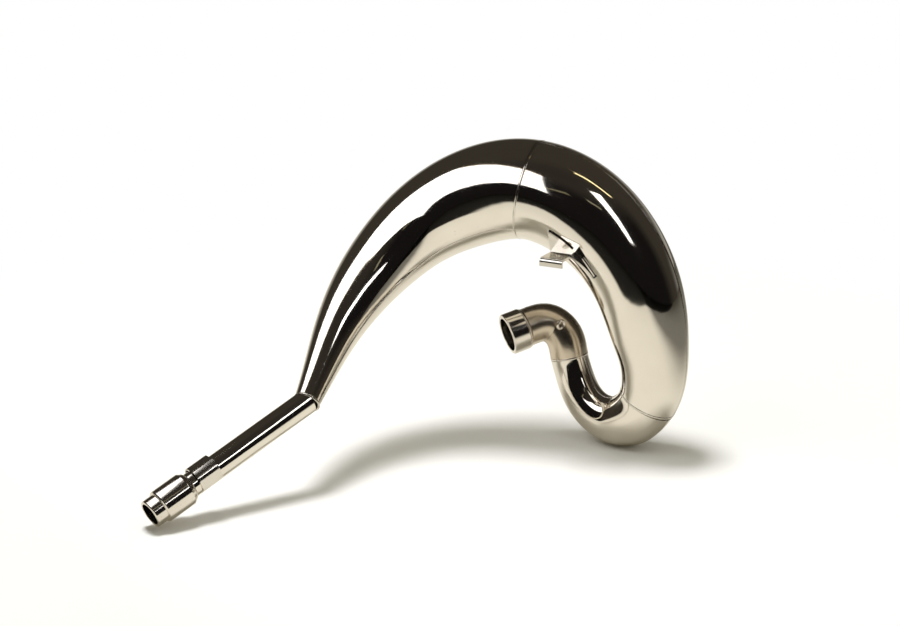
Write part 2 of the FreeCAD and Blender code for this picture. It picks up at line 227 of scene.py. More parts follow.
@dataclass(frozen=True)
class PlateFinish:
    """Bright nickel plate, with the shared surface effects weighed for one kind of part."""

    name: str
    slot: Slot
    colour: Colour
    tint: Colour
    roughness: float
    haze: float
    dimple: float
    scratch: float
    dirt: float = 0.25
    dirt_colour: Colour = (0.30, 0.25, 0.20)

    def material(self) -> bpy.types.Material:
        """Build the material, or return it if it exists.

        Returns:
            The material.
        """
        found = bpy.data.materials.get(self.name)
        if found:
            return found
        made = bpy.data.materials.new(self.name)
        made.use_nodes = True
        nodes = Nodes(made.node_tree)
        out = nodes.add("ShaderNodeOutputMaterial")
        metal = nodes.add("ShaderNodeBsdfPrincipled", Metallic=1.0)
        nodes.link(metal.outputs["BSDF"], out.inputs["Surface"])
        face = nodes.add("ShaderNodeGroup", node_tree=PlatedSurface.group(),
                         Roughness=self.roughness, Haze=self.haze, Dimple=self.dimple,
                         Scratch=self.scratch, Dirt=self.dirt)
        plate = nodes.add("ShaderNodeMix", data_type="RGBA")
        plate.inputs["A"].default_value = (*self.colour, 1.0)
        plate.inputs["B"].default_value = (*self.tint, 1.0)
        nodes.link(face.outputs["Tint"], plate.inputs["Factor"])
        stain = nodes.add("ShaderNodeMix", data_type="RGBA")
        stain.inputs["B"].default_value = (*self.dirt_colour, 1.0)
        nodes.link(face.outputs["Dirt"], stain.inputs["Factor"])
        nodes.link(plate.outputs["Result"], stain.inputs["A"])
        nodes.link(stain.outputs["Result"], metal.inputs["Base Color"])
        nodes.link(face.outputs["Roughness"], metal.inputs["Roughness"])
        bump = nodes.add("ShaderNodeBump", Strength=1.0, Distance=MM)
        nodes.link(face.outputs["Height"], bump.inputs["Height"])
        nodes.link(bump.outputs["Normal"], metal.inputs["Normal"])
        return made


SHEET_PLATE = PlateFinish(
    "sheet_plate", Slot.PLATE, colour=(0.86, 0.82, 0.76), tint=(0.80, 0.755, 0.69),
    roughness=0.045, haze=0.035, dimple=0.16, scratch=0.004)
# Elbow plate: browner and darker than the sheet plate, partly heat tint and partly a painted brown
# reflection, and rougher.
HEAT_TINT_AND_REFLECTION_PLATE = PlateFinish(
    "heat_tint_and_reflection_plate", Slot.PLATE, colour=(0.70, 0.62, 0.51), tint=(0.58, 0.50, 0.40),
    roughness=0.20, haze=0.06, dimple=0.16, scratch=0.004)
TURNED_PLATE = PlateFinish(
    "turned_plate", Slot.FITTING, colour=(0.84, 0.80, 0.74), tint=(0.77, 0.72, 0.66),
    roughness=0.07, haze=0.05, dimple=0.03, scratch=0.012)
FOLDED_PLATE = PlateFinish(
    "folded_plate", Slot.FITTING, colour=(0.80, 0.77, 0.72), tint=(0.72, 0.68, 0.63),
    roughness=0.10, haze=0.07, dimple=0.12, scratch=0.014)
WELD_PLATE = PlateFinish(
    "weld_plate", Slot.WELD, colour=(0.80, 0.76, 0.70), tint=(0.64, 0.58, 0.52),
    roughness=0.09, haze=0.08, dimple=0.05, scratch=0.01, dirt=0.5)


# Mesh pieces


@dataclass
class Skin:
    """Vertices and faces of one piece, in millimetres, gathered grid by grid."""

    points: list[Point] = field(default_factory=list)
    faces: list[tuple[int, ...]] = field(default_factory=list)

    def grid(self, rows: np.ndarray, flip: bool = False, wrap: bool = False) -> None:
        """Add a grid of quads.

        Args:
            rows: Points, as rows by columns by three.
            flip: Whether the faces look the other way.
            wrap: Whether the last column joins the first.
        """
        base = len(self.points)
        count, width = rows.shape[:2]
        self.points.extend(rows.reshape(-1, 3))
        for i in range(count - 1):
            for j in range(width if wrap else width - 1):
                k = (j + 1) % width
                quad = (base + i * width + j, base + i * width + k,
                        base + (i + 1) * width + k, base + (i + 1) * width + j)
                self.faces.append(quad[::-1] if flip else quad)

    def fan(self, ring: np.ndarray, flip: bool = False) -> None:
        """Close a ring of points with one face.

        Args:
            ring: Points in order.
            flip: Whether the face looks the other way.
        """
        base = len(self.points)
        self.points.extend(ring)
        order = tuple(range(base, base + len(ring)))
        self.faces.append(order[::-1] if flip else order)

    def piece(self, name: str, finish: PlateFinish, node: str) -> bpy.types.Object:
        """Make the object, dress it and hang it on the frame.

        Args:
            name: The piece's name.
            finish: Its finish.
            node: The CAD node that it stands for.

        Returns:
            The object.
        """
        mesh = bpy.data.meshes.new(name)
        mesh.from_pydata([tuple(p * MM) for p in self.points], [], self.faces)
        mesh.polygons.foreach_set("use_smooth", [True] * len(mesh.polygons))
        mesh.materials.append(finish.material())
        mesh.validate()
        mesh.update()
        made = bpy.data.objects.new(name, mesh)
        bpy.context.scene.collection.objects.link(made)
        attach(made, "root")
        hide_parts(node)
        return made


class Spline:
    """A cubic spline through values at knots, with end slopes from the four nearest values."""

    def __init__(self, knots: Sequence[float], values: np.ndarray) -> None:
        """Solve for the slopes.

        Args:
            knots: Increasing parameters.
            values: One row for each knot.
        """
        self.knots = np.asarray(knots, dtype=float)
        self.values = np.asarray(values, dtype=float).reshape(len(self.knots), -1)
        count = len(self.knots)
        gap = np.diff(self.knots)
        rise = np.diff(self.values, axis=0) / gap[:, None]
        left = np.zeros((count, count))
        right = np.zeros_like(self.values)
        left[0, 0] = left[-1, -1] = 1.0
        right[0] = self._end(self.knots[:4], self.values[:4], self.knots[0])
        right[-1] = self._end(self.knots[-4:], self.values[-4:], self.knots[-1])
        for i in range(1, count - 1):
            left[i, i - 1:i + 2] = gap[i], 2 * (gap[i - 1] + gap[i]), gap[i - 1]
            right[i] = 3 * (gap[i] * rise[i - 1] + gap[i - 1] * rise[i])
        self.slopes = np.linalg.solve(left, right)

    @staticmethod
    def _end(knots: np.ndarray, values: np.ndarray, at: float) -> np.ndarray:
        """Slope at a parameter of the cubic through four values."""
        powers = np.vander(knots - at, len(knots), increasing=True)
        return np.linalg.solve(powers, values)[1]

    def at(self, t: float) -> tuple[np.ndarray, np.ndarray]:
        """Value and slope at a parameter.

        Args:
            t: The parameter.

        Returns:
            The value and the slope.
        """
        i = int(np.clip(np.searchsorted(self.knots, t) - 1, 0, len(self.knots) - 2))
        h = self.knots[i + 1] - self.knots[i]
        s = (t - self.knots[i]) / h
        a, b = self.values[i], self.values[i + 1]
        p, q = self.slopes[i] * h, self.slopes[i + 1] * h
        value = (a * (1 + 2 * s) * (1 - s) ** 2 + p * s * (1 - s) ** 2
                 + b * s ** 2 * (3 - 2 * s) + q * s ** 2 * (s - 1))
        slope = (6 * s * (s - 1) * (a - b) + p * (1 - s) * (1 - 3 * s) + q * s * (3 * s - 2)) / h
        return value, slope


@dataclass
class Section:
    """A section of the pipe: centre, direction, radius and parting directions."""

    centre: Point
    along: Point
    radius: float
    across: Point
    seam: Point

    def at(self, radius: float, angle: float) -> Point:
        """A point of the section, by its angle from the drawing direction towards the seam."""
        return self.centre + radius * (math.cos(angle) * self.across + math.sin(angle) * self.seam)


@dataclass
class ChamberPath:
    """The centreline of the chamber with its diameters.

    The section at the leaning station tips over by the lean in degrees, and those within reach of
    it tip less and less.
    """

    inlet_axis: Point
    stations: list[Station]
    leaning: Station
    lean: float = 6.0
    lean_reach: float = 90.0

    def __post_init__(self) -> None:
        """Fit the splines."""
        points = np.array([s[:3] for s in self.stations])
        steps = np.linalg.norm(np.diff(points, axis=0), axis=1)
        self.knots = np.concatenate(([0.0], np.cumsum(steps)))
        self.place = Spline(self.knots, points)
        self.size = Spline(self.knots, np.array([s[3] for s in self.stations]))

    def knot(self, station: Station) -> float:
        """Parameter of one of the stations."""
        return float(self.knots[self.stations.index(station)])

    def section(self, knot: float, draw: Point) -> Section:
        """The section at a parameter.

        Args:
            knot: The parameter.
            draw: Direction in which the half shell is drawn.

        Returns:
            The section.
        """
        centre, slope = self.place.at(knot)
        along = unit(slope)
        if knot < self.knots[1]:
            share = knot / self.knots[1]
            along = unit(self.inlet_axis * (1 - share) + along * share)
        near = 1 - abs(knot - self.knot(self.leaning)) / self.lean_reach
        if near > 0:
            up, _ = axes_of(along)
            along = unit(along + up * near * math.tan(math.radians(self.lean)))
        across = unit(draw - along * float(draw @ along))
        return Section(centre, along, float(self.size.at(knot)[0][0]) / 2, across,
                       np.cross(along, across))


@dataclass
class WeldBead:
    """The form of a weld: its width, crown and the ripples that its pool left.

    A wave is a size, a rate for each millimetre and a phase.
    """

    width: float = 3.6
    crown: float = 0.46
    pitch: float = 2.6
    ripple: float = 0.5
    sink: float = 0.15
    points: int = 11
    wander: tuple[Wave, ...] = ((0.22, 0.37, 0.0), (0.16, 0.91, 1.3))
    swell: Wave = (0.08, 0.23, 0.7)
    crescent: float = 0.45
    trough: float = 0.6
    dome_power: float = 2.2
    toe_power: int = 6

    def height(self, share: float, run: float) -> float:
        """Height of the bead over the sheet.

        Args:
            share: Place across the bead, from -1 to 1.
            run: Distance along the weld in millimetres.

        Returns:
            The height in millimetres.
        """
        wander = sum(size * math.sin(run * rate + phase) for size, rate, phase in self.wander)
        turn = (run / self.pitch + self.crescent * share * share + wander) % 1.0
        scallop = math.sqrt(max(0.0, 1.0 - (2 * turn - 1) ** 2)) - self.trough
        dome = 1 - abs(share) ** self.dome_power
        size, rate, phase = self.swell
        swell = 1 + size * math.sin(run * rate + phase)
        toe = self.sink * abs(share) ** self.toe_power
        return (self.crown * swell + self.ripple * scallop) * dome - toe


@dataclass
class StampedStage:
    """One stamped length of the chamber: two half shells and the welds along their edges.

    The spine is the side of the spine's weld: 1 in the seam direction of the sections, else -1.
    """

    name: str
    halves: tuple[str, str]
    draw: Point
    first: float
    last: float
    spine: int
    finish: PlateFinish
    sheet: float
    girth_width: float
    seam_width: float = 3.2
    step: float = 3.0
    arc: int = 44
    ripple_steps: int = 8
    bead: WeldBead = field(default_factory=WeldBead)

    def knots(self, step: float) -> np.ndarray:
        """Parameters along the stage, between its girth welds.

        Args:
            step: Largest distance between two of them.

        Returns:
            The parameters.
        """
        half = self.girth_width / 2
        start, end = self.first + half, self.last - half
        return np.linspace(start, end, int(math.ceil((end - start) / step)) + 1)

    def shell(self, path: ChamberPath, side: int, name: str) -> bpy.types.Object:
        """Build one half shell.

        Args:
            path: The chamber's path.
            side: 1 for the half on the drawing direction's side, else -1.
            name: The piece's name.

        Returns:
            The piece.
        """
        sections = [path.section(k, self.draw) for k in self.knots(self.step)]
        layers = []
        for inset in (0.0, self.sheet):
            rows = []
            for s in sections:
                radius = s.radius - inset
                reach = math.acos(self.seam_width / 2 / radius)
                turn = np.linspace(reach, -reach, self.arc)
                middle = 0.0 if side > 0 else math.pi
                rows.append([s.at(radius, middle + a) for a in turn])
            layers.append(np.array(rows))
        skin = Skin()
        skin.grid(layers[0])
        skin.grid(layers[1], flip=True)
        for k in (0, -1):
            skin.grid(np.stack([layers[0][:, k], layers[1][:, k]], axis=1), flip=k == 0)
            skin.grid(np.stack([layers[0][k], layers[1][k]], axis=0), flip=k == -1)
        return skin.piece(f"{name}_skin", self.finish, name)

    def seam(self, path: ChamberPath, side: int, name: str) -> bpy.types.Object:
        """Build the weld along one pair of edges.

        Args:
            path: The chamber's path.
            side: 1 for the seam direction, else -1.
            name: The piece's name.

        Returns:
            The piece.
        """
        rows = []
        for knot in self.knots(self.bead.pitch / self.ripple_steps):
            s = path.section(knot, self.draw)
            row = []
            for share in np.linspace(-1, 1, self.bead.points):
                x = share * self.bead.width / 2
                lift = self.bead.height(share, knot)
                top = math.sqrt(s.radius ** 2 - x * x) + lift
                row.append(s.centre + s.across * x + s.seam * (side * top))
            for x in (self.seam_width / 2, -self.seam_width / 2):
                low = math.sqrt((s.radius - self.sheet) ** 2 - x * x)
                row.append(s.centre + s.across * x + s.seam * (side * low))
            rows.append(row)
        body = np.array(rows)
        skin = Skin()
        skin.grid(body, flip=side > 0, wrap=True)
        skin.fan(body[0], flip=side < 0)
        skin.fan(body[-1], flip=side > 0)
        return skin.piece(f"{name}_bead", WELD_PLATE, name)

    def build(self, path: ChamberPath) -> list[bpy.types.Object]:
        """Build the stage's four pieces.

        Args:
            path: The chamber's path.

        Returns:
            The pieces.
        """
        near, far = self.halves
        return [
            self.shell(path, 1, f"{self.name}_{near}_shell"),
            self.shell(path, -1, f"{self.name}_{far}_shell"),
            self.seam(path, self.spine, f"{self.name}_spine_weld"),
            self.seam(path, -self.spine, f"{self.name}_throat_weld"),
        ]


def axes_of(axis: Point) -> tuple[Point, Point]:
    """Two directions square to an axis and to each other.

    Args:
        axis: A unit vector.

    Returns:
        The directions, the first of them as upright as it can be.
    """
    up = np.array([0.0, 0.0, 1.0])
    up = unit(up - axis * float(up @ axis))
    return up, np.cross(axis, up)


@dataclass
class Turning:
    """A turned ring: a closed profile, rounded at its corners, spun about an axis."""

    origin: Point
    axis: Point
    profile: list[tuple[float, float]]
    round: float = 0.35
    corner_share: float = 0.4
    corner_points: int = 5
    sides: int = 128

    def rounded(self) -> list[list[tuple[float, float]]]:
        """Cut each corner by a small arc.

        Returns:
            The arcs' points, corner by corner.
        """
        arcs = []
        corners = [np.array(p) for p in self.profile]
        for i, corner in enumerate(corners):
            back, ahead = corners[i - 1] - corner, corners[(i + 1) % len(corners)] - corner
            before, after = np.linalg.norm(back), np.linalg.norm(ahead)
            cut = min(self.round, before * self.corner_share, after * self.corner_share)
            start, end = corner + back / before * cut, corner + ahead / after * cut
            arcs.append([tuple((1 - t) ** 2 * start + 2 * t * (1 - t) * corner + t * t * end)
                         for t in np.linspace(0.0, 1.0, self.corner_points)])
        return arcs

    def skin(self, cut: Optional[Callable[[Point], Point]] = None) -> Skin:
        """Spin the profile.

        Args:
            cut: Moves each point, to trim the ring obliquely.

        Returns:
            The skin.
        """
        up, side = axes_of(self.axis)
        made = Skin()
        arcs = self.rounded()
        turn = np.linspace(0, 2 * math.pi, self.sides, endpoint=False)
        spin = [math.cos(t) * up + math.sin(t) * side for t in turn]
        ends = [arcs[(i + 1) % len(arcs)][0] for i in range(len(arcs))]
        for arc, end in zip(arcs, ends):
            for strip in (arc, [arc[-1], end]):
                rows = np.array([[self.origin + self.axis * z + d * r for d in spin]
                                 for z, r in strip])
                if cut:
                    rows = np.array([[cut(p) for p in row] for row in rows])
                made.grid(rows, wrap=True)
        return made


@dataclass
class RingWeld:
    """A weld round the pipe, with ripples.

    Its face goes from one radius to a far radius, which may differ round the pipe. Its inside has
    the root's radius.
    """

    centre: Point
    axis: Point
    radius: float
    root: float
    far_radius: Callable[[Point], float]
    bead: WeldBead
    sides: int = 420

    def build(self, name: str) -> bpy.types.Object:
        """Build the ring.

        Args:
            name: The CAD node that it stands for.

        Returns:
            The piece.
        """
        up, side = axes_of(self.axis)
        rows = []
        for i in range(self.sides):
            turn = 2 * math.pi * i / self.sides
            spoke = math.cos(turn) * up + math.sin(turn) * side
            row = []
            for share in np.linspace(-1, 1, self.bead.points):
                base = self.radius + (self.far_radius(spoke) - self.radius) * (share + 1) / 2
                r = base + self.bead.height(share, turn * self.radius)
                row.append(self.centre + self.axis * (share * self.bead.width / 2) + spoke * r)
            for share in (1, -1):
                row.append(self.centre + self.axis * (share * self.bead.width / 2)
                           + spoke * self.root)
            rows.append(row)
        rows.append(rows[0])
        skin = Skin()
        skin.grid(np.array(rows), wrap=True)
        return skin.piece(f"{name}_bead", WELD_PLATE, name)


@dataclass
class Chamber:
    """The stamped chamber: elbow, header, belly and rear cone, with the welds that join them.

    A station is a place of the centreline and the outside diameter there, in millimetres.
    """

    inlet_axis: Point = field(default_factory=lambda: unit((0.962, -0.02, 0.271)))
    collar_length: float = 21.0
    sheet: float = 1.0
    girth_width: float = 3.0
    lead: float = 9.0
    start_diameter: float = 42.6
    elbow: tuple[Station, ...] = (
        (46.0, -2.0, 10.5, 43.0), (57.0, -5.0, 6.0, 43.6), (64.2, -11.4, -2.4, 44.0),
        (67.5, -15.7, -12.2, 44.0))
    header_joint: Station = (70.0, -17.9, -27.0, 43.8)
    header: tuple[Station, ...] = (
        (73.6, -23.1, -45.9, 43.6), (77.9, -32.6, -65.5, 44.6), (88.9, -52.0, -85.9, 47.9),
        (104.6, -71.2, -92.5, 56.1), (118.6, -90.9, -83.5, 62.7))
    belly_joint: Station = (130.5, -102.4, -62.8, 67.4)
    belly: tuple[Station, ...] = (
        (134.7, -107.0, -42.0, 71.7), (134.0, -109.0, -11.0, 78.1), (129.0, -107.5, 19.0, 87.0),
        (116.8, -98.0, 72.5, 97.0), (97.0, -78.0, 118.0, 104.0), (68.0, -49.0, 152.0, 111.0))
    cone_joint: Station = (24.4, -8.7, 170.9, 113.4)
    cone: tuple[Station, ...] = (
        (-7.0, 15.5, 167.0, 113.0), (-44.0, 35.7, 152.0, 108.5), (-83.5, 44.8, 130.0, 98.0),
        (-127.0, 39.0, 99.5, 84.8), (-169.0, 18.8, 66.4, 70.0), (-204.0, -9.8, 35.2, 54.4),
        (-233.0, -43.0, 6.8, 40.6))
    stinger_joint: Station = (-264.0, -81.6, -23.0, 28.6)
    elbow_draw: tuple[float, float, float] = (-0.12, -0.91, 0.34)
    header_draw: tuple[float, float, float] = (-0.88, -0.47, 0.0)
    belly_draw: tuple[float, float, float] = (-0.72, -0.69, 0.0)
    cone_draw: tuple[float, float, float] = (-0.47, -0.44, 0.77)
    joint_bead: WeldBead = field(default_factory=lambda: WeldBead(
        width=3.0, crown=0.25, pitch=1.6, ripple=0.14, sink=0.25, points=11))

    def __post_init__(self) -> None:
        """Lay out the path."""
        start = self.inlet_axis * (self.collar_length + self.girth_width / 2)
        lead = start + self.inlet_axis * self.lead
        self.path = ChamberPath(self.inlet_axis, [
            (*start, self.start_diameter), (*lead, self.start_diameter), *self.elbow,
            self.header_joint, *self.header, self.belly_joint, *self.belly, self.cone_joint,
            *self.cone, self.stinger_joint], self.cone_joint)

    def stages(self) -> list[StampedStage]:
        """The four stages in the order of the gas flow.

        Returns:
            The stages.
        """
        knots = [0.0] + [self.path.knot(s) for s in (
            self.header_joint, self.belly_joint, self.cone_joint, self.stinger_joint)]
        sides, layers = ("right", "left"), ("upper", "lower")
        rows = (("elbow", sides, self.elbow_draw, -1, HEAT_TINT_AND_REFLECTION_PLATE),
                ("header", sides, self.header_draw, 1, SHEET_PLATE),
                ("belly", sides, self.belly_draw, 1, SHEET_PLATE),
                ("cone", layers, self.cone_draw, 1, SHEET_PLATE))
        return [StampedStage(name, halves, np.array(draw), first, last, spine, finish, self.sheet,
                             self.girth_width)
                for (name, halves, draw, spine, finish), first, last in zip(rows, knots, knots[1:])]

    def joint(self, name: str, station: Station) -> bpy.types.Object:
        """Build the weld between two stages.

        Args:
            name: The later stage's name.
            station: The station where they meet.

        Returns:
            The piece.
        """
        knot = self.path.knot(station)
        s = self.path.section(knot, np.array(self.header_draw))
        step = self.girth_width / 2
        before = float(self.path.size.at(knot - step)[0][0]) / 2
        after = float(self.path.size.at(knot + step)[0][0]) / 2
        ring = RingWeld(s.centre, s.along, before, s.radius - self.sheet, lambda _: after,
                        self.joint_bead)
        return ring.build(f"{name}_joint_weld")

    def build(self) -> list[bpy.types.Object]:
        """Build the chamber.

        Returns:
            Its pieces.
        """
        made = [piece for stage in self.stages() for piece in stage.build(self.path)]
        for name, station in (("header", self.header_joint), ("belly", self.belly_joint),
                              ("cone", self.cone_joint)):
            made.append(self.joint(name, station))
        return made


@dataclass
class InletCollar:
    """The turned collar at the inlet, and its weld to the elbow."""

    chamber: Chamber
    step: float = 2.7
    wall: float = 4.5
    chamfer: float = 1.0

    def build(self) -> list[bpy.types.Object]:
        """Build the collar and its weld.

        Returns:
            The pieces.
        """
        axis, length, cut = self.chamber.inlet_axis, self.chamber.collar_length, self.chamfer
        elbow, width = self.chamber.start_diameter / 2, self.chamber.girth_width
        outside = elbow + self.step
        bore = outside - self.wall
        ring = Turning(np.zeros(3), axis, [
            (0, bore), (0, outside - cut), (cut, outside), (length - cut, outside),
            (length, outside - cut), (length, bore)])
        bead = WeldBead(width=width, crown=0.35, pitch=2.0, ripple=0.22, sink=0.0)
        weld = RingWeld(axis * (length + width / 2), axis, outside - cut,
                        elbow - self.chamber.sheet, lambda _: elbow, bead, sides=300)
        return [ring.skin().piece("inlet_collar_skin", TURNED_PLATE, "inlet_collar"),
                weld.build("collar_weld")]


@dataclass
class Stinger:
    """The outlet tube with its turned coupler, and the welds at the two ends of the tube."""

    joint: Section
    axis: Point = field(default_factory=lambda: unit((-0.881, -0.28, -0.381)))
    length: float = 212.0
    diameter: float = 27.0
    wall: float = 1.5
    weld_width: float = 3.0
    cut_before: float = 2.0
    cut_after: float = 40.0
    tube_round: float = 0.15
    coupler_length: float = 37.0
    coupler_diameter: float = 36.5
    coupler_taper: float = 4.0
    coupler_chamfer: float = 1.2
    socket: float = 15.0
    clearance: float = 0.05
    spigot_length: float = 13.0
    spigot_diameter: float = 31.0
    spigot_bore: float = 25.0
    spigot_chamfer: float = 0.8
    leg: float = 2.5

    def point(self, distance: float) -> Point:
        """A point of the tube's axis, by its distance from the end of the cone."""
        return self.joint.centre + self.axis * distance

    @property
    def coupler_start(self) -> float:
        """Distance from the cone to the coupler."""
        return self.length - self.spigot_length - self.coupler_length

    def trim(self, p: Point) -> Point:
        """Bring points before the oblique cut onto it.

        Args:
            p: A point of the tube.

        Returns:
            The point, or its place on the cut.
        """
        face = self.joint.centre + self.joint.along * (self.weld_width / 2)
        short = float((face - p) @ self.joint.along)
        return p + self.axis * (short / float(self.axis @ self.joint.along)) if short > 0 else p

    def tube(self) -> bpy.types.Object:
        """Build the tube.

        Returns:
            The piece.
        """
        outside, inside = self.diameter / 2, self.diameter / 2 - self.wall
        start, past = -self.cut_before, self.cut_after
        end = self.coupler_start + self.socket
        ring = Turning(self.point(0), self.axis, [
            (start, inside), (start, outside), (past, outside), (end, outside), (end, inside)],
            round=self.tube_round)
        return ring.skin(self.trim).piece("stinger_tube_skin", SHEET_PLATE, "stinger_tube")

    def coupler(self) -> bpy.types.Object:
        """Build the coupler.

        Returns:
            The piece.
        """
        tube, outside, cut = self.diameter / 2, self.coupler_diameter / 2, self.coupler_chamfer
        spigot, bore, edge = self.spigot_diameter / 2, self.spigot_bore / 2, self.spigot_chamfer
        hole, length = tube + self.clearance, self.coupler_length
        mouth = length + self.spigot_length
        ring = Turning(self.point(self.coupler_start), self.axis, [
            (0, hole), (0, tube + self.leg), (self.coupler_taper, outside), (length - cut, outside),
            (length, outside - cut), (length, spigot), (mouth - edge, spigot),
            (mouth, spigot - edge), (mouth, bore), (self.socket, bore), (self.socket, hole)])
        return ring.skin().piece("stinger_coupler_skin", TURNED_PLATE, "stinger_coupler")

    def welds(self) -> list[bpy.types.Object]:
        """Build the welds at the cone and at the coupler.

        Returns:
            The pieces.
        """
        def on_tube(spoke: Point) -> float:
            """Where a spoke of the joint's plane leaves the tube."""
            return self.diameter / 2 / math.sqrt(1 - float(spoke @ self.axis) ** 2)

        bead = WeldBead(width=self.weld_width, crown=0.35, pitch=1.8, ripple=0.22, sink=0.1)
        cone = RingWeld(self.joint.centre, self.joint.along, self.joint.radius,
                        self.diameter / 2 - self.wall, on_tube, bead, sides=240)
        tube = self.diameter / 2
        fillet = WeldBead(width=self.leg, crown=0.2, pitch=1.8, ripple=0.25, sink=0.0)
        ring = RingWeld(self.point(self.coupler_start) - self.axis * (self.leg / 2), self.axis,
                        tube, tube, lambda _: tube + self.leg, fillet, sides=240)
        return [cone.build("stinger_weld"), ring.build("coupler_weld")]

    def build(self) -> list[bpy.types.Object]:
        """Build the stinger's pieces."""
        return [self.tube(), self.coupler(), *self.welds()]


@dataclass
class KeptFittings:
    """Small fittings whose CAD form is shown as it is, with a finish."""

    folded: tuple[str, ...] = ("stinger_saddle", "stay_plate", "stay_gusset",
                               "right_spring_hook", "left_spring_hook")
    welds: tuple[str, ...] = ("saddle_right_weld", "saddle_left_weld", "stay_weld",
                              "gusset_weld")

    def build(self) -> list[bpy.types.Object]:
        """Dress the fittings.

        Returns:
            The CAD objects.
        """
        made = []
        for names, finish in ((self.folded, FOLDED_PLATE), (self.welds, WELD_PLATE)):
            for name in names:
                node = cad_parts[name]
                for holder in node.material_slots:
                    holder.material = finish.material()
                made.append(node)
        return made


# Studio


@dataclass
class Softbox:
    """A flat lamp that hangs level over the floor, or stands upright beside the pipe.

    Places and sizes are in metres, the power in watts and the turn in degrees.
    """

    name: str
    right: float
    front: float
    size: tuple[float, float]
    power: float
    turn: float = 0.0
    colour: Colour = (1.0, 1.0, 1.0)
    height: float = 1.3
    mirrored: bool = True
    upright: bool = False

    def hang(self, right: Vector, front: Vector) -> None:
        """Hang the lamp.

        Args:
            right: Direction to the photographer's right.
            front: Direction to the photographer.
        """
        data = bpy.data.lights.new(self.name, "AREA")
        data.shape = "RECTANGLE"
        data.size, data.size_y = self.size
        data.energy = self.power
        data.color = self.colour
        made = bpy.data.objects.new(self.name, data)
        made.location = right * self.right + front * self.front + Vector((0, 0, self.height))
        heading = math.atan2(right.y, right.x) + math.radians(self.turn)
        made.rotation_euler = (math.pi / 2 if self.upright else 0.0, 0.0, heading)
        made.visible_glossy = self.mirrored
        made.visible_camera = False
        bpy.context.scene.collection.objects.link(made)


